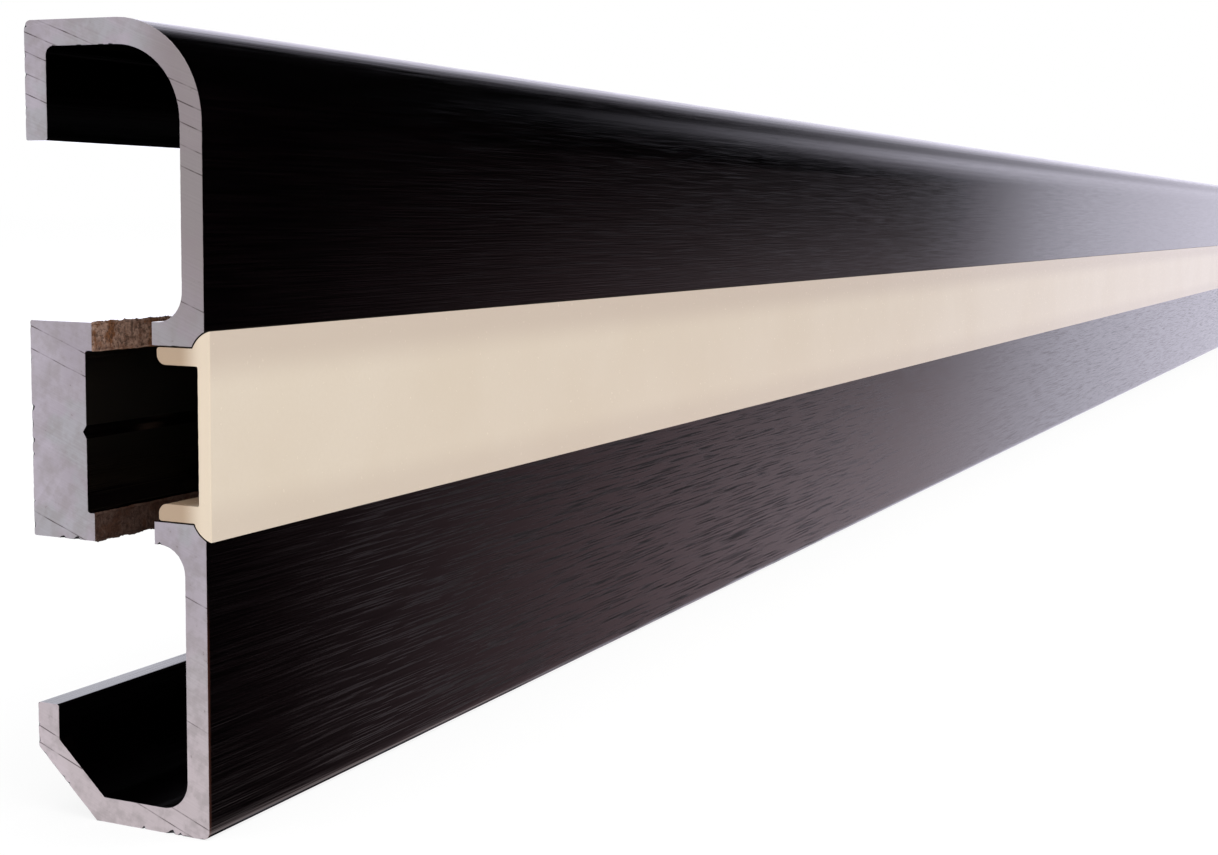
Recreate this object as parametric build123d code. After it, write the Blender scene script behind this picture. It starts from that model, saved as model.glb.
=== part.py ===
from build123d import *
import math
import os

# A length of aluminium rail profile with a plastic strip snapped into its front slot.
# Millimetres. X runs along the stock, the front face looks along -Y and Z is up.
# The origin is under the middle of the stock and strip, on the plane of the foot.
# Sections are drawn by "back", the distance behind the front face, and "up", the height.

# The stock
stock_length = 1000.0
section_height = 80.0
section_depth = 21.2

# Walls
wall = 2.55
rear_wall = 2.65

# The big rounded corner and the hook behind it
top_radius = 10.0
hook_drop = 11.7
hook_outer_radius = 0.8
hook_inner_radius = 0.9
edge_break = 0.25

# The foot and the trough behind it
toe_radius = 0.8
chamfer_run = 7.3
chamfer_rise = 6.8
lip_height = 11.45
root_radius = 3.0

# The slot in the front face, with a flange above it and one below
slot_height = 40.0
slot_mouth = 20.3
flange_spread = 21.8
flange_thickness = 2.25
flange_reach = 6.15
seat_radius = 3.2
seat_centre_out = 1.4

# The solid bar at the back, with a rib along each edge and a scribed line between them
bar_height = 21.8
bar_drop = 0.35
bar_thickness = 6.85
rib_depth = 0.85
rib_width = 2.8
recess_radius = 0.3
scribe_width = 1.3
scribe_depth = 0.45

# The cut end, where the webs between flanges and bar are milled back
notch_length = 25.0
cutter_overrun = 1.0

# The plastic strip
strip_proud = 0.6
strip_thickness = 1.4
leg_reach = 5.6
leg_thickness = 1.7
leg_nose_radius = 1.0
leg_heel_radius = 0.3
leg_root_radius = 0.2
slip_gap = 0.15
shoulder_gap = 0.15

# Worked out from the sizes above
near_end = -stock_length / 2
overall_depth = section_depth + strip_proud
flange_outer = flange_spread / 2
flange_inner = flange_outer - flange_thickness
seat_centre_rise = slot_mouth / 2 - math.sqrt(seat_radius**2 - seat_centre_out**2)
bar_middle = slot_height - bar_drop
bar_front = section_depth - bar_thickness
rib_front = bar_front - rib_depth


def at(back, up):
    """Sketch point that lies so far behind the front face and above the foot."""
    return (back + strip_proud - overall_depth / 2, up)


def outline(*points):
    """Flat face inside a closed run of straight lines."""
    return make_face(Polyline(*points, close=True))


def block(back_low, back_high, up_low, up_high):
    """Upright rectangle between two depths and two heights."""
    return outline(
        at(back_low, up_low), at(back_high, up_low), at(back_high, up_high), at(back_low, up_high)
    )


def rounded(face, radius, *points):
    """The face with the corners nearest the points rounded."""
    for point in points:
        face = fillet(face.vertices().sort_by_distance(point)[0], radius)
    return face


def along_stock(section, start, length):
    """Solid made by running a section along X."""
    return extrude(Plane.YZ.offset(start) * section, amount=length)


def shell_section():
    """Hook, rounded top, front plate, foot, slanted trough wall and lip in one wall."""
    outside = outline(
        at(0, 0),
        at(section_depth - chamfer_run, 0),
        at(section_depth, chamfer_rise),
        at(section_depth, section_height),
        at(0, section_height),
    )
    outside = rounded(outside, top_radius, at(0, section_height))
    outside = rounded(outside, toe_radius, at(0, 0))
    outside = rounded(outside, hook_outer_radius, at(section_depth, section_height))

    # The inside of the slanted wall is the outside line moved in by one wall.
    slant = math.hypot(chamfer_run, chamfer_rise)
    shift_back = -wall * chamfer_rise / slant
    shift_up = wall * chamfer_run / slant
    inner_back = section_depth - rear_wall
    slant_foot = section_depth - chamfer_run + shift_back
    inner_foot = slant_foot + (wall - shift_up) * chamfer_run / chamfer_rise
    inner_rise = shift_up + (inner_back - slant_foot) * chamfer_rise / chamfer_run
    inner_top = section_height - wall
    hollow = outline(
        at(wall, wall),
        at(inner_foot, wall),
        at(inner_back, inner_rise),
        at(inner_back, inner_top),
        at(wall, inner_top),
    )
    hollow = rounded(hollow, top_radius - wall, at(wall, inner_top))
    hollow = rounded(hollow, root_radius, at(wall, wall))
    hollow = rounded(hollow, hook_inner_radius, at(inner_back, inner_top))

    hook_end = section_height - hook_drop
    open_back = block(inner_back - rear_wall, section_depth + rear_wall, lip_height, hook_end)
    shell = outside - hollow - open_back
    tips = [at(back, up) for back in (inner_back, section_depth) for up in (lip_height, hook_end)]
    return rounded(shell, edge_break, *tips)


def slotted_section():
    """The shell with the flanged slot that takes the strip."""
    section = shell_section()
    for side in (-1, 1):
        inner = slot_height + side * flange_inner
        outer = slot_height + side * flange_outer
        section += block(0, flange_reach, min(inner, outer), max(inner, outer))
        section = rounded(section, root_radius, at(wall, outer))
    section -= block(-wall, flange_reach, slot_height - flange_inner, slot_height + flange_inner)
    for side in (-1, 1):
        centre = at(-seat_centre_out, slot_height + side * seat_centre_rise)
        section -= Pos(*centre) * Circle(seat_radius)
    return section


def bar_section():
    """Thick flat bar with a raised rib along both edges and a scribed centre line."""
    low = bar_middle - bar_height / 2
    high = bar_middle + bar_height / 2
    bar = block(rib_front, section_depth, low, high)
    bar -= block(rib_front - rib_depth, bar_front, low + rib_width, high - rib_width)
    floor_corners = [at(bar_front, low + rib_width), at(bar_front, high - rib_width)]
    bar = rounded(bar, recess_radius, *floor_corners)
    bar -= outline(
        at(bar_front, bar_middle - scribe_width / 2),
        at(bar_front + scribe_depth, bar_middle),
        at(bar_front, bar_middle + scribe_width / 2),
    )
    return rounded(bar, edge_break, at(section_depth, low), at(section_depth, high))


def web_sections():
    """The two webs that tie the flange tips to the ribs of the bar."""
    webs = []
    for side in (-1, 1):
        rib_outer = bar_middle + side * bar_height / 2
        webs.append(
            outline(
                at(flange_reach, slot_height + side * flange_inner),
                at(flange_reach, slot_height + side * flange_outer),
                at(rib_front, rib_outer),
                at(rib_front, rib_outer - side * rib_width),
            )
        )
    return webs


def make_profile():
    """The extruded profile, with both webs milled back from the near end."""
    section = slotted_section() + bar_section()
    for web in web_sections():
        section += web
    body = along_stock(section, near_end, stock_length)
    reach = bar_height / 2 + cutter_overrun
    gap = block(flange_reach, rib_front, bar_middle - reach, bar_middle + reach)
    return body - along_stock(gap, near_end - cutter_overrun, notch_length + cutter_overrun)


def strip_half():
    """Half of the strip's section: face, rounded shoulder and one snap leg."""
    centre_up = slot_height + seat_centre_rise
    radius = seat_radius - shoulder_gap
    leg_outer = slot_height + flange_inner - slip_gap
    leg_inner = leg_outer - leg_thickness
    face_back = strip_thickness - strip_proud
    heel_angle = math.degrees(math.asin((leg_outer - centre_up) / radius))
    edge_angle = math.degrees(math.acos((seat_centre_out - strip_proud) / radius))
    shoulder = CenterArc(
        at(-seat_centre_out, centre_up), radius, heel_angle, edge_angle - heel_angle
    )
    front_line = Polyline(shoulder @ 1, at(-strip_proud, slot_height), at(face_back, slot_height))
    leg_line = Polyline(
        at(face_back, slot_height),
        at(face_back, leg_inner),
        at(leg_reach, leg_inner),
        at(leg_reach, leg_outer),
        shoulder @ 0,
    )
    half = make_face([shoulder, front_line, leg_line])
    half = rounded(half, leg_nose_radius, at(leg_reach, leg_inner))
    half = rounded(half, leg_heel_radius, at(leg_reach, leg_outer))
    return rounded(half, leg_root_radius, at(face_back, leg_inner))


def make_strip():
    """The snap-in strip, as long as the profile."""
    half = strip_half()
    middle = Plane(origin=(0, slot_height, 0), z_dir=(0, 1, 0))
    return along_stock(half + mirror(half, about=middle), near_end, stock_length)


os.makedirs("parts", exist_ok=True)
export_step(make_profile(), "parts/profile.step")
export_step(make_strip(), "parts/insert_strip.step")
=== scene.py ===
import math

import bmesh
import bpy
from mathutils import Matrix, Vector, noise


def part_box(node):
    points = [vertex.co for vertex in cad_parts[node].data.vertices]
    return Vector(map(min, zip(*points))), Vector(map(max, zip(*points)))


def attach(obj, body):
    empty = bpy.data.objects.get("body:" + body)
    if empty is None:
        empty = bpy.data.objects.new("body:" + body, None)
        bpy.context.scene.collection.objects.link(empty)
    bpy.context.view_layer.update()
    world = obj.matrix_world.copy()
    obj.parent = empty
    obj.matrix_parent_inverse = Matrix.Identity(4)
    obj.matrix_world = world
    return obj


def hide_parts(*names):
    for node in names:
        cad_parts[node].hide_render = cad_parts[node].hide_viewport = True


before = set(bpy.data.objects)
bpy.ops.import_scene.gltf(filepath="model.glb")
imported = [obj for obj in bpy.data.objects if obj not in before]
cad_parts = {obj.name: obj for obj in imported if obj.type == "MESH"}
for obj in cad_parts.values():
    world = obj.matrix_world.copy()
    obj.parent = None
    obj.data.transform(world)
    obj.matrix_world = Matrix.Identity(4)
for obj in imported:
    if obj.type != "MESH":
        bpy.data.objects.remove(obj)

# A length of black anodised rail profile, sawn off square, with a cream plastic strip in its slot.
# Metres. X runs along the stock, the front face looks along -Y and Z is up.
# Sections are drawn by "back", the distance behind the front face, and "up", the height.

MM = 0.001
DEG = math.radians(1)

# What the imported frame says
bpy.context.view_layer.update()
profile_low, profile_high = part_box("profile")
strip_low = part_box("insert_strip")[0]
near_end = profile_low.x
far_end = profile_high.x
front_face = profile_low.y
section_depth = profile_high.y - profile_low.y
section_height = profile_high.z - profile_low.z
strip_proud = profile_low.y - strip_low.y

# Walls of the profile
wall = 2.55 * MM
rear_wall = 2.65 * MM

# The big rounded corner and the hook behind it
top_radius = 10.0 * MM
hook_drop = 11.7 * MM
hook_outer_radius = 0.8 * MM
hook_inner_radius = 0.9 * MM
edge_break = 0.25 * MM

# The foot and the trough behind it
toe_radius = 0.8 * MM
chamfer_run = 7.3 * MM
chamfer_rise = 6.8 * MM
lip_height = 11.45 * MM
root_radius = 3.0 * MM

# The slot in the front face, with a flange above it and one below
slot_height = 40.0 * MM
slot_mouth = 20.3 * MM
flange_spread = 21.8 * MM
flange_thickness = 2.25 * MM
flange_reach = 6.15 * MM
seat_radius = 3.2 * MM
seat_centre_out = 1.4 * MM

# The bar at the back, with a rib along each edge and a scribed line between them
bar_height = 21.8 * MM
bar_drop = 0.35 * MM
bar_thickness = 6.85 * MM
rib_depth = 0.85 * MM
rib_width = 2.8 * MM
recess_radius = 0.3 * MM
scribe_width = 1.3 * MM
scribe_depth = 0.45 * MM
notch_length = 25.0 * MM

# The plastic strip
strip_thickness = 1.4 * MM
leg_reach = 5.6 * MM
leg_thickness = 1.7 * MM
leg_nose_radius = 1.0 * MM
leg_heel_radius = 0.3 * MM
leg_root_radius = 0.2 * MM
slip_gap = 0.15 * MM
shoulder_gap = 0.15 * MM

# Worked out from the sizes above
flange_outer = flange_spread / 2
flange_inner = flange_outer - flange_thickness
seat_centre_rise = slot_mouth / 2 - math.sqrt(seat_radius**2 - seat_centre_out**2)
bar_middle = slot_height - bar_drop
bar_front = section_depth - bar_thickness
rib_front = bar_front - rib_depth
notch_end = near_end + notch_length

# How finely the outlines and the run of the stock are divided
arc_step = math.radians(6)
point_step = 0.3 * MM
skin_station = 0.55 * MM
shell_step = 1.5 * MM
web_step = 12.5 * MM
rail_step = 100 * MM
strip_step = 95 * MM
strip_margin = 25 * MM

# Edges that turn by more than this stay crisp
crisp_edge = math.radians(32)

# Saw work on the ends: a fine broken arris, and nicks knocked out of it on the back and underneath
arris_width = 0.03 * MM
arris_spread = 0.05 * MM
arris_waver = 1.7
nick_depth = 0.45 * MM
nick_size = 0.55 * MM
nick_level = 0.20
sheltered = 0.25
plastic_nick_depth = 0.2 * nick_depth
ends_apart = 7.0

# How far a nick bites along the skin, into the wall and over the sawn face, as shares of its depth
bite_along = 0.35
bite_in = 0.3
bite_on_face = 1.6
least_bite = 0.02

# Milled faces in the notch, torn coarsely and finely, with so many tears to the millimetre
milled_step = 0.25 * MM
milled_depth = 0.10 * MM
coarse_tears = 0.9
coarse_share = 0.6
fine_tears = 2.6
fine_share = 0.4

# Burrs along the ribs
burr_height = 0.17 * MM
inner_burr_height = 0.4 * burr_height
burr_step = 0.12 * MM
burr_base = 0.14 * MM
burr_root = 0.3 * burr_base

# Where the front plate starts to roll over above the toe, and how sharply it turns (per metre)
rolled_edge = 1.7 * MM
edge_roll = 0.065 / (rolled_edge - toe_radius)


# Outlines in the section plane

def arc(centre, radius, start, end):
    """Points on an arc between two angles, turning from back towards up."""
    count = max(2, math.ceil(abs(end - start) / arc_step))
    angles = [start + (end - start) * i / count for i in range(count + 1)]
    return [Vector((centre[0] + radius * math.cos(a), centre[1] + radius * math.sin(a))) for a in angles]


def rounded_corner(before, corner, after, radius):
    """Points that round the corner between two straight runs."""
    to_before = (before - corner).normalized()
    to_after = (after - corner).normalized()
    half = to_before.angle(to_after) / 2
    centre = corner + (to_before + to_after).normalized() * radius / math.sin(half)
    first = corner + to_before * radius / math.tan(half) - centre
    last = corner + to_after * radius / math.tan(half) - centre
    start = math.atan2(first.y, first.x)
    turn = math.atan2(first.x * last.y - first.y * last.x, first.dot(last))
    return arc(centre, radius, start, start + turn)


def run(*corners):
    """Open outline through corners given as (back, up) or (back, up, radius)."""
    places = [Vector(c[:2]) for c in corners]
    points = [places[0]]
    for i in range(1, len(corners) - 1):
        radius = corners[i][2] if len(corners[i]) > 2 else 0
        if radius:
            points += rounded_corner(places[i - 1], places[i], places[i + 1], radius)
        else:
            points.append(places[i])
    return points + [places[-1]]


def fine(points, step=point_step):
    """The outline with its long straight runs divided."""
    divided = [points[0]]
    for a, b in zip(points, points[1:]):
        count = max(1, round((b - a).length / step))
        divided += [a.lerp(b, i / count) for i in range(1, count + 1)]
    return divided


def seat(side):
    """The round seat of the strip's shoulder, from the flange to the front face."""
    centre = (-seat_centre_out, slot_height + side * seat_centre_rise)
    inner = math.asin((flange_inner - seat_centre_rise) / seat_radius)
    outer = math.acos(seat_centre_out / seat_radius)
    return arc(centre, seat_radius, side * inner, side * outer)


def upper_run():
    """From the upper flange's inner tip round the front, the top and the hook to its outer tip."""
    inner_back = section_depth - rear_wall
    inner_top = section_height - wall
    hook_end = section_height - hook_drop
    tip = Vector((flange_reach, slot_height + flange_inner))
    shoulder = seat(1)
    rest = run(
        shoulder[-1],
        (0, section_height, top_radius),
        (section_depth, section_height, hook_outer_radius),
        (section_depth, hook_end, edge_break),
        (inner_back, hook_end, edge_break),
        (inner_back, inner_top, hook_inner_radius),
        (wall, inner_top, top_radius - wall),
        (wall, slot_height + flange_outer, root_radius),
        (flange_reach, slot_height + flange_outer),
    )
    return fine([tip] + shoulder + rest[1:])


def lower_run():
    """From the lower flange's outer tip round the trough, the foot and the front to its inner tip."""
    slant = math.hypot(chamfer_run, chamfer_rise)
    shift_back = -wall * chamfer_rise / slant
    shift_up = wall * chamfer_run / slant
    inner_back = section_depth - rear_wall
    slant_foot = section_depth - chamfer_run + shift_back
    inner_foot = slant_foot + (wall - shift_up) * chamfer_run / chamfer_rise
    inner_rise = shift_up + (inner_back - slant_foot) * chamfer_rise / chamfer_run
    tip = Vector((flange_reach, slot_height - flange_inner))
    shoulder = seat(-1)
    rest = run(
        (flange_reach, slot_height - flange_outer),
        (wall, slot_height - flange_outer, root_radius),
        (wall, wall, root_radius),
        (inner_foot, wall),
        (inner_back, inner_rise),
        (inner_back, lip_height, edge_break),
        (section_depth, lip_height, edge_break),
        (section_depth, chamfer_rise),
        (section_depth - chamfer_run, 0),
        (0, 0, toe_radius),
        shoulder[-1],
    )
    return fine(rest[:-1] + shoulder[::-1] + [tip])


def bar_back_run():
    """The bar's top, back and bottom, from rib to rib."""
    low = bar_middle - bar_height / 2
    high = bar_middle + bar_height / 2
    return fine(run(
        (rib_front, high),
        (section_depth, high, edge_break),
        (section_depth, low, edge_break),
        (rib_front, low),
    ))


def bar_front_run():
    """The bar's front between the ribs, with the scribed line, from the lower rib to the upper."""
    low = bar_middle - bar_height / 2 + rib_width
    high = bar_middle + bar_height / 2 - rib_width
    return fine(run(
        (rib_front, low),
        (bar_front, low, recess_radius),
        (bar_front, bar_middle - scribe_width / 2),
        (bar_front + scribe_depth, bar_middle),
        (bar_front, bar_middle + scribe_width / 2),
        (bar_front, high, recess_radius),
        (rib_front, high),
    ))


def strip_run():
    """The strip's closed outline: face, rounded shoulders and the two snap legs."""
    radius = seat_radius - shoulder_gap
    leg_outer = flange_inner - slip_gap
    leg_inner = leg_outer - leg_thickness
    face_back = strip_thickness - strip_proud
    heel = math.asin((leg_outer - seat_centre_rise) / radius)
    edge = math.acos((seat_centre_out - strip_proud) / radius)
    upper = arc((-seat_centre_out, slot_height + seat_centre_rise), radius, heel, edge)
    lower = arc((-seat_centre_out, slot_height - seat_centre_rise), radius, -edge, -heel)
    legs = run(
        lower[-1],
        (leg_reach, slot_height - leg_outer, leg_heel_radius),
        (leg_reach, slot_height - leg_inner, leg_nose_radius),
        (face_back, slot_height - leg_inner, leg_root_radius),
        (face_back, slot_height + leg_inner, leg_root_radius),
        (leg_reach, slot_height + leg_inner, leg_nose_radius),
        (leg_reach, slot_height + leg_outer, leg_heel_radius),
        upper[0],
    )
    return fine(upper + lower + legs[1:])


# Building a mesh by running outlines along the stock

def place(x, point):
    """Where a section point lies in the frame."""
    return Vector((x, front_face + point[0], point[1]))


class Stock:
    """A mesh under construction, in which points that coincide are one vertex."""

    def __init__(self):
        self.mesh = bmesh.new()
        self.known = {}

    def vertex(self, x, point):
        key = (round(x * 1e7), round(point[0] * 1e7), round(point[1] * 1e7))
        if key not in self.known:
            self.known[key] = self.mesh.verts.new(place(x, point))
        return self.known[key]

    def face(self, corners, material):
        corners = [c for i, c in enumerate(corners) if c is not corners[i - 1]]
        made = self.mesh.faces.new(corners)
        made.material_index = material

    def sweep(self, outline, stations, material):
        """The skin that an open outline leaves along the stations."""
        for x0, x1 in zip(stations, stations[1:]):
            for a, b in zip(outline, outline[1:]):
                ring = ((x0, a), (x1, a), (x1, b), (x0, b))
                self.face([self.vertex(x, point) for x, point in ring], material)

    def sawn_end(self, outline, x, inward, face_material, nick_material, nick_depth=nick_depth):
        """A sawn face on a closed outline, with its arris broken and nicked."""
        loop = outline[:-1] if (outline[0] - outline[-1]).length < 1e-8 else outline
        area = sum(a.cross(b) for a, b in zip(loop, loop[1:] + loop[:1]))
        inside = 1 if area > 0 else -1
        rim, face = [], []
        for i, point in enumerate(loop):
            along = (loop[(i + 1) % len(loop)] - loop[i - 1]).normalized()
            into = Vector((-along.y, along.x)) * inside
            spot = Vector((point[0] / nick_size, point[1] / nick_size, x * ends_apart))
            at_back = min(1.0, max(0.0, point[0] / section_depth)) ** 2
            low_down = 1.0 if point[1] < slot_height else sheltered
            exposed = max(-into.x * at_back, into.y * low_down, 0.0) ** 2
            knock = exposed * max(0.0, noise.noise(spot) - nick_level) / (1 - nick_level)
            ragged = arris_width + arris_spread * abs(noise.noise(spot * arris_waver))
            vertex = self.vertex(x, point)
            set_back = ragged + knock * nick_depth * bite_along
            vertex.co = place(x + inward * set_back, point + into * knock * nick_depth * bite_in)
            rim.append((vertex, knock))
            flat_point = point + into * (ragged + knock * nick_depth * bite_on_face)
            face.append(self.mesh.verts.new(place(x, flat_point)))
        for i, (vertex, knock) in enumerate(rim):
            following, next_knock = rim[(i + 1) % len(rim)]
            nicked = max(knock, next_knock) > least_bite
            arris = [vertex, following, face[(i + 1) % len(face)], face[i]]
            self.face(arris, nick_material if nicked else face_material)
        self.face(face, face_material)

    def finish(self, name, materials):
        """Closes the mesh as an object with smooth faces and crisp edges."""
        bmesh.ops.recalc_face_normals(self.mesh, faces=self.mesh.faces)
        for made in self.mesh.faces:
            made.smooth = len(made.verts) <= 4
        mesh = bpy.data.meshes.new(name)
        self.mesh.to_mesh(mesh)
        self.mesh.free()
        mesh.set_sharp_from_angle(angle=crisp_edge)
        for material in materials:
            mesh.materials.append(material)
        piece = bpy.data.objects.new(name, mesh)
        bpy.context.scene.collection.objects.link(piece)
        return piece


def even_stations(start, end, step):
    """Stations from start to end, about one step apart."""
    count = max(1, round((end - start) / step))
    return [start + (end - start) * i / count for i in range(count + 1)]


SKIN, SAWN, MILLED = 0, 1, 2


def rough_mill(stock, x0, x1):
    """Tears up the milled faces of the ribs."""
    for vertex in stock.mesh.verts:
        back = vertex.co.y - front_face
        if not x0 + skin_station < vertex.co.x < x1 - milled_step:
            continue
        if abs(back - rib_front) > 1e-6:
            continue
        spot = vertex.co / MM
        torn = noise.fractal(spot * coarse_tears, 0.8, 2.0, 4) * coarse_share
        torn += noise.noise(spot * fine_tears) * fine_share
        vertex.co.y += milled_depth * torn


def burr(stock, up, side, height):
    """A torn ridge that the cutter left standing along one edge of a rib."""

    def uneven(x, per_mm, row):
        """A draw that wanders along the stock, in a row of its own."""
        return noise.noise(Vector((x / MM * per_mm, up / MM, row)))

    rings = []
    for x in even_stations(near_end + burr_step, notch_end - burr_step, burr_step):
        torn = max(0.0, uneven(x, 0.7, 1.0) + 0.25)
        torn += max(0.0, uneven(x, 3.1, 2.0)) * 0.9
        lean = uneven(x, 1.3, 3.0) * burr_base
        foot = up - side * burr_base
        section = [(rib_front - burr_base, foot), (rib_front + burr_base, foot)]
        section.append((rib_front + lean, up + side * (burr_root + torn * height)))
        rings.append([stock.mesh.verts.new(place(x, point)) for point in section])
    for first, second in zip(rings, rings[1:]):
        for i in range(3):
            stock.face([first[i], second[i], second[i - 1], first[i - 1]], MILLED)
    stock.face(rings[0], MILLED)
    stock.face(rings[-1][::-1], MILLED)


def make_profile(materials):
    """The profile: one skin, open at the webs along the notch, with sawn ends."""
    upper, lower = upper_run(), lower_run()
    back, front = bar_back_run(), bar_front_run()
    webs = [fine([upper[-1], back[0]]), fine([back[-1], lower[0]])]
    webs += [fine([lower[-1], front[0]]), fine([front[-1], upper[0]])]
    tips = [fine([upper[-1], upper[0]], milled_step), fine([lower[-1], lower[0]], milled_step)]
    ribs = [fine([front[-1], back[0]], milled_step), fine([back[-1], front[0]], milled_step)]

    shell_stations = [near_end, near_end + skin_station]
    shell_stations += even_stations(near_end + shell_step, notch_end, shell_step)
    bar_stations = [near_end] + even_stations(near_end + skin_station, notch_end, milled_step)
    far_stations = even_stations(notch_end, notch_end + 2 * web_step, web_step)
    far_stations += even_stations(notch_end + rail_step / 2, far_end - rail_step / 2, rail_step)
    far_stations += [far_end - skin_station, far_end]

    stock = Stock()
    for outline in (upper, lower):
        stock.sweep(outline, shell_stations, SKIN)
    for outline in tips:
        stock.sweep(outline, shell_stations, MILLED)
    for outline in (back, front):
        stock.sweep(outline, bar_stations, SKIN)
    for outline in ribs:
        stock.sweep(outline, bar_stations, MILLED)
    for outline in (upper, back, lower, front, *webs):
        stock.sweep(outline, far_stations, SKIN)
    for edges in ((webs[0], webs[3], tips[0], ribs[0]), (webs[1], webs[2], tips[1], ribs[1])):
        stock.face(around(stock, *edges), MILLED)
    rough_mill(stock, near_end, notch_end)
    for side in (-1, 1):
        burr(stock, bar_middle + side * bar_height / 2, side, burr_height)
        burr(stock, bar_middle + side * (bar_height / 2 - rib_width), -side, inner_burr_height)
    stock.sawn_end(upper + tips[0][1:-1], near_end, 1, SAWN, SKIN)
    stock.sawn_end(lower + tips[1][1:-1], near_end, 1, SAWN, SKIN)
    stock.sawn_end(back + ribs[1][1:-1] + front + ribs[0][1:-1], near_end, 1, SAWN, SKIN)
    whole = []
    for skin, web in zip((upper, back, lower, front), webs):
        whole += skin + web[1:-1]
    stock.sawn_end(whole, far_end, -1, SAWN, SKIN)
    return stock.finish("profile_body", materials)


def around(stock, *outlines):
    """The vertices of the web's end wall, in order round its edge."""
    edges = {}
    for outline in outlines:
        corners = [stock.vertex(notch_end, p) for p in outline]
        for a, b in zip(corners, corners[1:]):
            edges.setdefault(a, []).append(b)
            edges.setdefault(b, []).append(a)
    start = stock.vertex(notch_end, outlines[0][0])
    loop, previous = [start], None
    while True:
        following = [v for v in edges[loop[-1]] if v is not previous]
        previous = loop[-1]
        if following[0] is start:
            return loop
        loop.append(following[0])


def make_strip(material):
    """The snap-in strip, sawn off flush with the profile."""
    outline = strip_run()
    stations = [near_end, near_end + skin_station]
    stations += even_stations(near_end + strip_margin, far_end - strip_margin, strip_step)
    stations += [far_end - skin_station, far_end]
    stock = Stock()
    stock.sweep(outline, stations, 0)
    stock.sawn_end(outline, near_end, 1, 0, 0, plastic_nick_depth)
    stock.sawn_end(outline, far_end, -1, 0, 0, plastic_nick_depth)
    return stock.finish("insert_strip_body", [material])


# Shader helpers

def add(tree, kind, values=(), **settings):
    """A node with its settings, and the constants for its inputs in order or by name."""
    made = tree.nodes.new(kind)
    for key, value in settings.items():
        setattr(made, key, value)
    pairs = values.items() if isinstance(values, dict) else enumerate(values)
    for socket, value in pairs:
        if isinstance(value, bpy.types.NodeSocket):
            tree.links.new(value, made.inputs[socket])
        elif value is not None:
            made.inputs[socket].default_value = value
    return made


def math_node(tree, operation, *values):
    return add(tree, "ShaderNodeMath", values, operation=operation).outputs[0]


def product(tree, *values):
    """The values multiplied together."""
    result = values[0]
    for value in values[1:]:
        result = math_node(tree, "MULTIPLY", result, value)
    return result


def ramp(tree, value, low, high, out_low=0.0, out_high=1.0):
    """Value carried smoothly from one range to another."""
    values = (value, low, high, out_low, out_high)
    return add(tree, "ShaderNodeMapRange", values, interpolation_type="SMOOTHSTEP").outputs[0]


def mixed(tree, factor, low, high):
    """Colour between two colours."""
    made = add(tree, "ShaderNodeMix", data_type="RGBA")
    for socket, value in ((0, factor), (6, low), (7, high)):
        if isinstance(value, bpy.types.NodeSocket):
            tree.links.new(value, made.inputs[socket])
        else:
            made.inputs[socket].default_value = value
    return made.outputs[2]


def new_group(name, inputs, outputs):
    """An empty node group with float inputs, given with their defaults, and float outputs."""
    tree = bpy.data.node_groups.new(name, "ShaderNodeTree")
    for label, value in inputs.items():
        socket = tree.interface.new_socket(label, in_out="INPUT", socket_type="NodeSocketFloat")
        socket.default_value = value
    for label in outputs:
        tree.interface.new_socket(label, in_out="OUTPUT", socket_type="NodeSocketFloat")
    entry = tree.nodes.new("NodeGroupInput")
    leave = tree.nodes.new("NodeGroupOutput")
    return tree, entry.outputs, leave.inputs


def use(tree, group, **values):
    """A group placed in a material with its own values."""
    made = add(tree, "ShaderNodeGroup", node_tree=group)
    for label, value in values.items():
        made.inputs[label.replace("_", " ")].default_value = value
    return made.outputs


def object_place(tree):
    """The place in the frame, which is also each piece's own, as no piece is moved."""
    return add(tree, "ShaderNodeTexCoord").outputs["Object"]


def along_across_up(tree):
    """The place in the frame along X, Y and Z."""
    return add(tree, "ShaderNodeSeparateXYZ", (object_place(tree),)).outputs


def lengthwise_grain():
    """Brushing along the stock: fine lines, and slubs where its pores are open."""
    tree, given, result = new_group(
        "lengthwise_grain",
        {"Line Length": 12 * MM, "Line Width": 0.2 * MM, "Slub Length": 20 * MM, "Slub Width": 0.5 * MM},
        ("Lines", "Slubs"),
    )
    place_in = object_place(tree)

    def stretched(length, width, detail, roughness):
        along = math_node(tree, "DIVIDE", 1.0, length)
        across = math_node(tree, "DIVIDE", 1.0, width)
        scale = add(tree, "ShaderNodeCombineXYZ", (along, across, across)).outputs[0]
        at = add(tree, "ShaderNodeVectorMath", (place_in, scale), operation="MULTIPLY").outputs[0]
        values = {"Vector": at, "Scale": 1.0, "Detail": detail, "Roughness": roughness}
        return add(tree, "ShaderNodeTexNoise", values).outputs["Fac"]

    tree.links.new(stretched(given["Line Length"], given["Line Width"], 1.0, 0.5), result["Lines"])
    slubs = stretched(given["Slub Length"], given["Slub Width"], 1.0, 0.4)
    tree.links.new(ramp(tree, slubs, 0.50, 0.66), result["Slubs"])
    return tree


def soft_clouds():
    """Slow blotches, for stains and unevenness."""
    inputs = {"Size": 10 * MM, "Detail": 4.0, "Contrast": 0.25}
    tree, given, result = new_group("soft_clouds", inputs, ("Clouds",))
    scale = math_node(tree, "DIVIDE", 1.0, given["Size"])
    values = {"Vector": object_place(tree), "Scale": scale, "Detail": given["Detail"], "Roughness": 0.6}
    clouds = add(tree, "ShaderNodeTexNoise", values).outputs["Fac"]
    low = math_node(tree, "SUBTRACT", 0.5, given["Contrast"])
    high = math_node(tree, "ADD", 0.5, given["Contrast"])
    tree.links.new(ramp(tree, clouds, low, high), result["Clouds"])
    return tree


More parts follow.
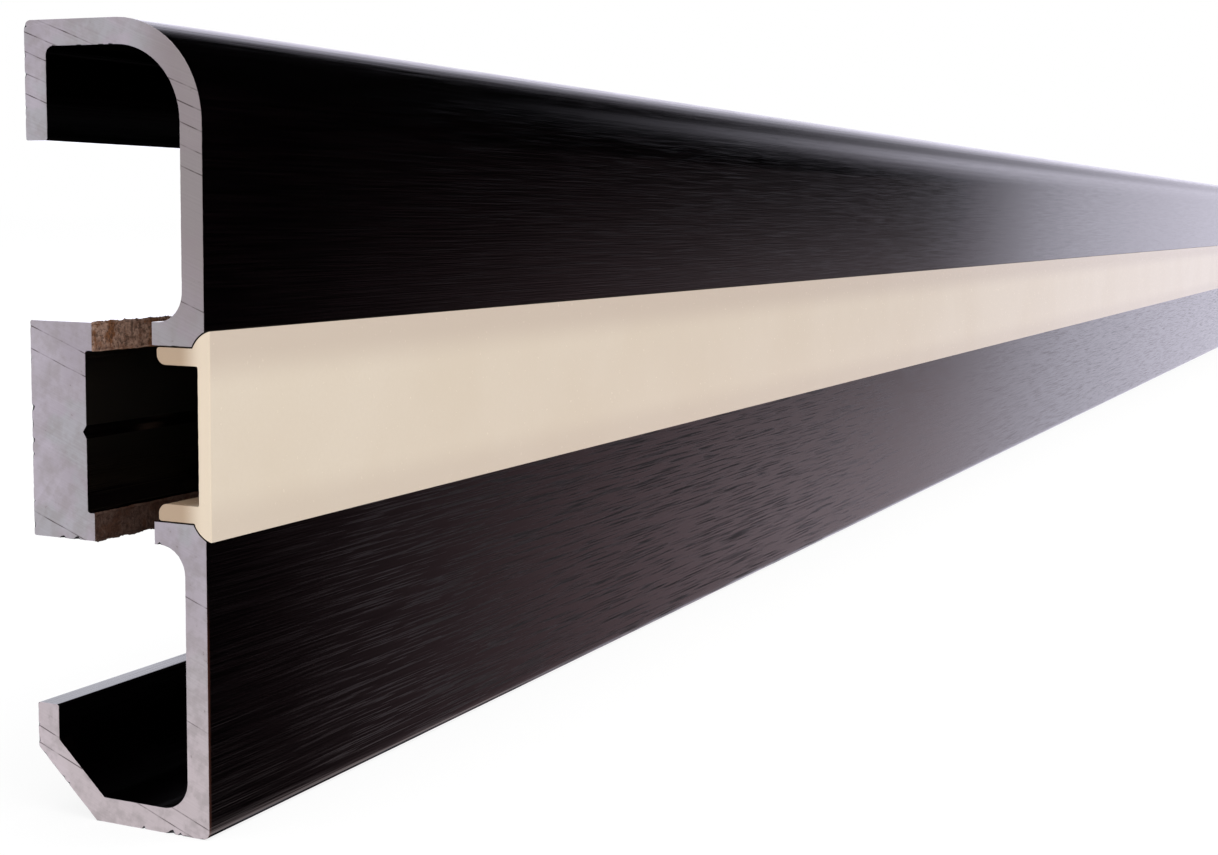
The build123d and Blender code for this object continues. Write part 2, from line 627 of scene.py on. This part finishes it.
def grit():
    """Small irregular specks where a rough noise rises over a level."""
    inputs = {"Size": 0.4 * MM, "Level": 0.6, "Softness": 0.06}
    tree, given, result = new_group("grit", inputs, ("Specks", "Height"))
    scale = math_node(tree, "DIVIDE", 1.0, given["Size"])
    values = {"Vector": object_place(tree), "Scale": scale, "Detail": 5.0, "Roughness": 0.72}
    rough = add(tree, "ShaderNodeTexNoise", values).outputs["Fac"]
    full = math_node(tree, "ADD", given["Level"], given["Softness"])
    tree.links.new(ramp(tree, rough, given["Level"], full), result["Specks"])
    tree.links.new(rough, result["Height"])
    return tree


# Scores that the saw left right across the section: where each meets the plane of the front face
score_heights = [h * MM for h in (72.7, 71.0, 69.1, 67.0, 65.0, 52.0, 42.1, 39.8, 23.3, 10.9, 1.1, -0.7)]
score_slope = math.radians(20.5)


def saw_scores():
    """Thin dark scores and the fine lines between them, rising towards the back."""
    tree, given, result = new_group("saw_scores", {"Score Width": 0.07 * MM}, ("Scores", "Fine Lines"))
    at = object_place(tree)
    split = add(tree, "ShaderNodeSeparateXYZ", (at,)).outputs
    back = math_node(tree, "SUBTRACT", split[1], front_face)
    climb = math_node(tree, "MULTIPLY", back, -math.tan(score_slope))
    level = math_node(tree, "ADD", split[2], climb)
    slow = {"Vector": at, "Scale": 130.0, "Detail": 2.0}
    waver = add(tree, "ShaderNodeTexNoise", slow).outputs["Fac"]
    bend = math_node(tree, "MULTIPLY_ADD", waver, 0.30 * MM, -0.15 * MM)
    level = math_node(tree, "ADD", level, bend)
    nearest = None
    for height in score_heights:
        gap = math_node(tree, "ABSOLUTE", math_node(tree, "SUBTRACT", level, height))
        nearest = gap if nearest is None else math_node(tree, "MINIMUM", nearest, gap)
    line = ramp(tree, nearest, given["Score Width"], 0.0)
    quick = {"Vector": at, "Scale": 420.0, "Detail": 3.0}
    breaks = add(tree, "ShaderNodeTexNoise", quick).outputs["Fac"]
    kept = ramp(tree, breaks, 0.38, 0.62, 0.2, 1.0)
    tree.links.new(product(tree, line, kept), result["Scores"])
    by_level = {"W": level, "Scale": 5200.0, "Detail": 3.0}
    fine_lines = add(tree, "ShaderNodeTexNoise", by_level, noise_dimensions="1D")
    tree.links.new(fine_lines.outputs["Fac"], result["Fine Lines"])
    return tree


grain_group = lengthwise_grain()
cloud_group = soft_clouds()
grit_group = grit()
saw_group = saw_scores()


def new_material(name):
    """A material with only its shader and output, ready for its own nodes."""
    made = bpy.data.materials.new(name)
    made.use_nodes = True
    tree = made.node_tree
    shader = tree.nodes["Principled BSDF"]
    return made, tree, shader


def feed(tree, shader, **sockets):
    """Links outputs to the shader's sockets, named with underscores."""
    for label, value in sockets.items():
        tree.links.new(value, shader.inputs[label.replace("_", " ")])


def anodised_skin():
    """Black anodising over brushed aluminium."""
    black = (0.0003, 0.0001, 0.0002, 1)
    brown_black = (0.0018, 0.0008, 0.0011, 1)
    pore_black = (0.0004, 0.0002, 0.0004, 1)
    shaded_inner_black = (0.0002, 0.0001, 0.0002, 1)
    scuffed_red = (0.050, 0.016, 0.010, 1)

    made, tree, shader = new_material("anodised_skin")
    shader.inputs["IOR"].default_value = 1.45
    shader.inputs["Specular IOR Level"].default_value = 0.25
    grain = use(
        tree, grain_group,
        Line_Length=14 * MM, Line_Width=0.13 * MM, Slub_Length=10 * MM, Slub_Width=0.15 * MM,
    )
    clouds = use(tree, cloud_group, Size=22 * MM, Detail=3.0, Contrast=0.22)
    along, across, up = along_across_up(tree)
    tone = product(tree, grain["Lines"], ramp(tree, clouds["Clouds"], 0.0, 1.0, 0.85, 1.0))
    colour = mixed(tree, ramp(tree, tone, 0.34, 0.66), black, brown_black)
    colour = mixed(tree, grain["Slubs"], colour, pore_black)
    # Painted shade: every surface behind the front face is darkened towards a deeper black
    inside = ramp(tree, across, front_face + 0.1 * MM, front_face + 1.0 * MM, 0.0, 0.85)
    colour = mixed(tree, inside, colour, shaded_inner_black)

    # The saw scuffed the lower part of the front plate's cut edge
    cut_edge = ramp(tree, along, near_end + 0.55 * MM, near_end + 0.10 * MM)
    on_front = ramp(tree, across, front_face + 0.9 * MM, front_face + 0.4 * MM, 0.0, 0.9)
    lower_part = ramp(tree, up, 26 * MM, 16 * MM)
    colour = mixed(tree, product(tree, cut_edge, on_front, lower_part), colour, scuffed_red)

    # The brushing's pores show most on the lower plate, a little way in from the cut
    smooth = ramp(tree, grain["Lines"], 0.3, 0.7, 0.08, 0.14)
    on_lower_plate = ramp(tree, up, 36 * MM, 28 * MM, 0.10, 0.50)
    off_the_cut = ramp(tree, along, near_end + 5 * MM, near_end + 60 * MM, 0.12, 1.0)
    fading = ramp(tree, along, near_end + 100 * MM, near_end + 280 * MM, 1.0, 0.2)
    open_pores = product(tree, grain["Slubs"], on_lower_plate, off_the_cut, fading)
    roughness = math_node(tree, "ADD", smooth, open_pores)
    relief = product(tree, grain["Lines"], ramp(tree, fading, 0.2, 1.0, 0.55, 1.0))
    brushed = add(tree, "ShaderNodeBump", {"Distance": 0.011 * MM, "Height": relief}).outputs[0]

    # The bottom edge rolls over a little above its rounding
    under_roll = math_node(tree, "MAXIMUM", math_node(tree, "SUBTRACT", rolled_edge, up), 0.0)
    fall = product(tree, under_roll, under_roll, -0.5 * edge_roll)
    rolled = add(tree, "ShaderNodeBump", {"Distance": 1.0, "Height": fall, "Normal": brushed})
    feed(tree, shader, Base_Color=colour, Roughness=roughness, Normal=rolled.outputs[0])
    return made


def sawn_aluminium():
    """Bare metal as the saw left it."""
    cool_grey = (0.43, 0.385, 0.425, 1)
    pale_grey = (0.51, 0.465, 0.51, 1)
    plain_grey = (0.44, 0.445, 0.455, 1)
    warm_grey = (0.60, 0.53, 0.54, 1)
    tarnished = (0.29, 0.245, 0.24, 1)
    stained = (0.34, 0.305, 0.30, 1)
    line_grey = (0.30, 0.27, 0.28, 1)
    pit_brown = (0.17, 0.13, 0.12, 1)
    score_black = (0.07, 0.05, 0.05, 1)

    made, tree, shader = new_material("sawn_aluminium")
    shader.inputs["Metallic"].default_value = 1.0
    saw = use(tree, saw_group, Score_Width=0.10 * MM)
    clouds = use(tree, cloud_group, Size=9 * MM, Detail=5.0, Contrast=0.2)
    tints = use(tree, cloud_group, Size=6 * MM, Detail=3.0, Contrast=0.15)
    stains = use(tree, cloud_group, Size=1.6 * MM, Detail=8.0, Contrast=0.24)
    pits = use(tree, grit_group, Size=0.8 * MM, Level=0.64, Softness=0.07)
    across, up = along_across_up(tree)[1:]

    colour = mixed(tree, clouds["Clouds"], cool_grey, pale_grey)
    colour = mixed(tree, ramp(tree, tints["Clouds"], 0.4, 1.0, 0.0, 0.6), colour, plain_grey)
    colour = mixed(tree, ramp(tree, up, 30 * MM, 4 * MM), colour, warm_grey)
    high_up = ramp(tree, up, 36 * MM, 62 * MM, 0.0, 0.75)
    at_front = ramp(tree, across, front_face + 9 * MM, front_face + 2.5 * MM)
    colour = mixed(tree, product(tree, high_up, at_front), colour, tarnished)
    colour = mixed(tree, ramp(tree, stains["Clouds"], 0.2, 1.0, 0.0, 0.45), colour, stained)
    between_lines = ramp(tree, saw["Fine Lines"], 0.25, 0.75, 0.10, 0.0)
    colour = mixed(tree, product(tree, between_lines, tints["Clouds"]), colour, line_grey)
    colour = mixed(tree, ramp(tree, pits["Specks"], 0.0, 1.0, 0.0, 0.6), colour, pit_brown)
    colour = mixed(tree, saw["Scores"], colour, score_black)

    roughness = ramp(tree, saw["Fine Lines"], 0.2, 0.8, 0.60, 0.52)
    height = math_node(tree, "SUBTRACT", saw["Fine Lines"], product(tree, saw["Scores"], 2.0))
    relief = {"Strength": 0.5, "Distance": 0.003 * MM, "Height": height}
    bump = add(tree, "ShaderNodeBump", relief)
    feed(tree, shader, Base_Color=colour, Roughness=roughness, Normal=bump.outputs[0])
    return made


def milled_metal():
    """Torn, oxidised metal where the webs were milled away, with painted shade on the lower milled
    faces.
    """
    dull_brown = (0.30, 0.165, 0.115, 1)
    pale_brown = (0.60, 0.40, 0.31, 1)
    rust_brown = (0.25, 0.085, 0.018, 1)
    speck_brown = (0.07, 0.035, 0.022, 1)
    painted_shade_brown = (0.03, 0.008, 0.004, 1)

    made, tree, shader = new_material("milled_metal")
    specks = use(tree, grit_group, Size=0.45 * MM, Level=0.48, Softness=0.12)
    rust = use(tree, grit_group, Size=3.2 * MM, Level=0.50, Softness=0.08)
    clouds = use(tree, cloud_group, Size=0.55 * MM, Detail=6.0, Contrast=0.18)
    across, up = along_across_up(tree)[1:]

    colour = mixed(tree, clouds["Clouds"], dull_brown, pale_brown)
    by_bar = ramp(tree, across, front_face + 9 * MM, front_face + 13 * MM, 0.25, 0.8)
    colour = mixed(tree, product(tree, rust["Specks"], by_bar), colour, rust_brown)
    colour = mixed(tree, ramp(tree, specks["Specks"], 0.0, 1.0, 0.0, 0.70), colour, speck_brown)
    # Painted shade: the milled faces turn dark below about 36 mm up, over the lower rib
    colour = mixed(tree, ramp(tree, up, 36 * MM, 33 * MM, 0.0, 0.84), colour, painted_shade_brown)

    roughness = ramp(tree, clouds["Clouds"], 0.0, 1.0, 0.7, 0.9)
    bump = add(tree, "ShaderNodeBump", {"Distance": 0.12 * MM, "Height": specks["Height"]})
    feed(tree, shader, Base_Color=colour, Roughness=roughness, Normal=bump.outputs[0])
    return made


def cream_plastic():
    """Satin plastic: cream on the face, with painted shade over the legs; more yellow on the legs inside
    the slot, and darkened there with painted shade.
    """
    cream = (0.80, 0.685, 0.55, 1)
    pale_cream = (0.83, 0.72, 0.59, 1)
    haze_cream = (0.77, 0.65, 0.51, 1)
    cream_shaded_over_leg = (0.66, 0.545, 0.45, 1)
    cut_cream = (0.90, 0.755, 0.585, 1)
    leg_tan_and_shade = (0.50, 0.36, 0.245, 1)

    made, tree, shader = new_material("cream_plastic")
    shader.inputs["IOR"].default_value = 1.5
    shader.inputs["Specular IOR Level"].default_value = 0.5
    clouds = use(tree, cloud_group, Size=30 * MM, Detail=3.0, Contrast=0.2)
    haze = use(tree, cloud_group, Size=0.5 * MM, Detail=3.0, Contrast=0.4)
    along, across, up = along_across_up(tree)

    colour = mixed(tree, clouds["Clouds"], cream, pale_cream)
    colour = mixed(tree, ramp(tree, haze["Clouds"], 0.0, 1.0, 0.0, 0.25), colour, haze_cream)
    # Painted shade: the face darkens in bands over the legs behind it, more over the upper leg
    over_upper_leg = ramp(tree, up, 44 * MM, 48.5 * MM, 0.0, 0.75)
    over_lower_leg = ramp(tree, up, 35 * MM, 31 * MM, 0.0, 0.45)
    over_leg = math_node(tree, "MAXIMUM", over_upper_leg, over_lower_leg)
    colour = mixed(tree, over_leg, colour, cream_shaded_over_leg)
    cut_end = ramp(tree, along, near_end + 0.25 * MM, near_end + 0.05 * MM, 0.0, 0.8)
    colour = mixed(tree, cut_end, colour, cut_cream)
    # The legs and the inside of the slot: a more yellow tan, made darker with painted shade
    inside = ramp(tree, across, front_face + 0.2 * MM, front_face + 3.0 * MM)
    colour = mixed(tree, inside, colour, leg_tan_and_shade)

    roughness = ramp(tree, haze["Clouds"], 0.0, 1.0, 0.20, 0.28)
    relief = {"Strength": 0.3, "Distance": 0.006 * MM, "Height": haze["Clouds"]}
    bump = add(tree, "ShaderNodeBump", relief)
    feed(tree, shader, Base_Color=colour, Roughness=roughness, Normal=bump.outputs[0])
    return made


# The stage

def pale_floor():
    """A plain white floor that keeps the profile's shadow."""
    half_width = 8.0
    just_under = 0.02 * MM
    grid = bmesh.new()
    bmesh.ops.create_grid(grid, x_segments=1, y_segments=1, size=half_width)
    mesh = bpy.data.meshes.new("floor")
    grid.to_mesh(mesh)
    grid.free()
    made = bpy.data.materials.new("floor_white")
    made.use_nodes = True
    tree = made.node_tree
    tree.nodes.clear()
    diffuse = add(tree, "ShaderNodeBsdfDiffuse", {"Color": (0.9, 0.9, 0.9, 1)})
    glow = add(tree, "ShaderNodeEmission", {"Color": (1, 1, 1, 1), "Strength": 1.06})
    seen = math_node(tree, "MULTIPLY", add(tree, "ShaderNodeLightPath").outputs["Is Camera Ray"], 0.8)
    blend = add(tree, "ShaderNodeMixShader", (seen, diffuse.outputs[0], glow.outputs[0]))
    add(tree, "ShaderNodeOutputMaterial", (blend.outputs[0],))
    mesh.materials.append(made)
    floor = bpy.data.objects.new("floor", mesh)
    floor.location.z = -just_under
    floor.visible_glossy = False
    bpy.context.scene.collection.objects.link(floor)


def band(tree, angle, *edges):
    """One where every edge is crossed; each edge is the angles at which it is nought and one."""
    return product(tree, *[ramp(tree, angle, low * DEG, high * DEG) for low, high in edges])


def backdrop_light(tree, turned, climb):
    """Beyond the far end a backdrop that fades upwards, with a brighter fold standing in it."""
    right_edge = math_node(tree, "MULTIPLY_ADD", climb, -0.10, 12.4 * DEG)
    softness = math_node(tree, "MULTIPLY_ADD", math_node(tree, "MAXIMUM", climb, 0.0), 0.45, 2.4 * DEG)
    past_edge = math_node(tree, "DIVIDE", math_node(tree, "SUBTRACT", turned, right_edge), softness)
    within_edge = ramp(tree, past_edge, 1.0, -1.0)
    sideways = band(tree, turned, (-15.8, -6.5))
    upright = band(tree, climb, (25.3, -2.9), (-32, -22))
    off_fold = math_node(tree, "ABSOLUTE", math_node(tree, "SUBTRACT", turned, 7.4 * DEG))
    fold_height = ramp(tree, climb, 28.6 * DEG, 10.4 * DEG, 0.0, 0.63)
    fold = product(tree, ramp(tree, off_fold, 6.8 * DEG, 0.0), fold_height)
    return product(tree, within_edge, sideways, upright), fold


def wall_light(tree, turned, climb):
    """Behind the stock a wall whose top edge drops towards the far end."""
    slope = math_node(tree, "MULTIPLY_ADD", turned, -0.54, 10.5 * DEG)
    wall_top = math_node(tree, "MAXIMUM", slope, 7.7 * DEG)
    over_wall = math_node(tree, "SUBTRACT", climb, wall_top)
    reach = product(tree, band(tree, over_wall, (12.2, -9.6)), band(tree, turned, (-2.9, -4.0)))
    return product(tree, reach, band(tree, climb, (-12, -4)))


def mirrored_studio(tree):
    """What glossy surfaces see: lit paper and walls in a dark room."""
    dark = (0.003, 0.003, 0.003, 1)
    paper_ahead = (0.97, 0.79, 0.87, 1)
    paper_beside = (0.97, 0.64, 0.71, 1)
    table_white = (2.1, 1.75, 1.75, 1)
    wall_white = (1.22, 1.18, 1.38, 1)
    softbox_white = (1.9, 1.9, 2.1, 1)
    open_side = (0.95, 0.95, 0.97, 1)

    # Directions are given by how far they turn from +X towards the front, and how far they climb
    towards = add(tree, "ShaderNodeTexCoord").outputs["Generated"]
    split = add(tree, "ShaderNodeSeparateXYZ", (towards,)).outputs
    turned = math_node(tree, "ARCTAN2", math_node(tree, "MULTIPLY", split[1], -1.0), split[0])
    climb = math_node(tree, "ARCSINE", split[2])

    # A sheet of paper lies in front of the stock, on a white table that shows close to the toe
    sheet = product(tree, band(tree, turned, (37.4, 16.1)), band(tree, climb, (2.8, -11), (-28, -22)))
    table = product(tree, band(tree, climb, (-19, -27), (-52, -43)), band(tree, turned, (8, 17)))
    paper = mixed(tree, band(tree, turned, (16, 28)), paper_ahead, paper_beside)
    seen = mixed(tree, sheet, dark, paper)
    seen = mixed(tree, table, seen, table_white)

    # The backdrop and the wall are lit white, and a softbox stands where the wall ends
    backdrop, fold = backdrop_light(tree, turned, climb)
    walls = math_node(tree, "MAXIMUM", backdrop, wall_light(tree, turned, climb))
    bright = math_node(tree, "MINIMUM", math_node(tree, "ADD", walls, fold), 1.0)
    seen = mixed(tree, bright, seen, wall_white)
    softbox = product(tree, band(tree, turned, (-35, -39)), band(tree, climb, (40, 22)))
    seen = mixed(tree, softbox, seen, softbox_white)
    return mixed(tree, ramp(tree, split[0], 0.0, -0.5), seen, open_side)


def studio_light():
    """Even light all round, the studio that the gloss mirrors, and one soft lamp overhead."""
    even_light = (0.8, 0.8, 0.8, 1)
    white = (1, 1, 1, 1)
    world = bpy.data.worlds.new("white_tent")
    bpy.context.scene.world = world
    world.use_nodes = True
    tree = world.node_tree
    tree.nodes.clear()
    path = add(tree, "ShaderNodeLightPath").outputs
    tent = mixed(tree, path["Is Diffuse Ray"], mirrored_studio(tree), even_light)
    tent = mixed(tree, path["Is Camera Ray"], tent, white)
    lit = add(tree, "ShaderNodeBackground", (tent, 1.0))
    add(tree, "ShaderNodeOutputWorld", (lit.outputs[0],))

    lamp = bpy.data.lights.new("overhead_softbox", "AREA")
    lamp.shape = "RECTANGLE"
    lamp.size, lamp.size_y = 2.0, 1.2
    lamp.energy = 12
    holder = bpy.data.objects.new("overhead_softbox", lamp)
    holder.location = (-0.2, -0.5, 1.6)
    holder.rotation_euler = (-holder.location).to_track_quat("-Z", "Y").to_euler()
    bpy.context.scene.collection.objects.link(holder)


# The camera, worked out from where the section's corners lie in the photograph
photo_width = 1218
focal_pixels = 1874.4
camera_yaw = math.radians(24.479)
camera_tilt = math.radians(6.546)
camera_roll = math.radians(0.791)
camera_before_end = 146.53 * MM
camera_in_front = 109.34 * MM
camera_height = 62.03 * MM


def make_camera():
    """The camera where the photograph was taken from, turned about its axes in order."""
    data = bpy.data.cameras.new("camera")
    data.sensor_width = 36.0
    data.lens = focal_pixels / photo_width * data.sensor_width
    data.clip_start = 0.01
    data.clip_end = 50
    camera = bpy.data.objects.new("camera", data)
    turn = Matrix.Rotation(camera_yaw - math.pi / 2, 4, "Z")
    turn = turn @ Matrix.Rotation(math.pi / 2 - camera_tilt, 4, "X")
    turn = turn @ Matrix.Rotation(camera_roll, 4, "Z")
    spot = Vector((near_end - camera_before_end, front_face - camera_in_front, camera_height))
    camera.matrix_world = Matrix.Translation(spot) @ turn
    bpy.context.scene.collection.objects.link(camera)
    bpy.context.scene.camera = camera


bpy.context.scene.view_settings.view_transform = "Standard"

profile = make_profile([anodised_skin(), sawn_aluminium(), milled_metal()])
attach(profile, "root")
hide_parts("profile")

strip = make_strip(cream_plastic())
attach(strip, "root")
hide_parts("insert_strip")

pale_floor()
studio_light()
make_camera()
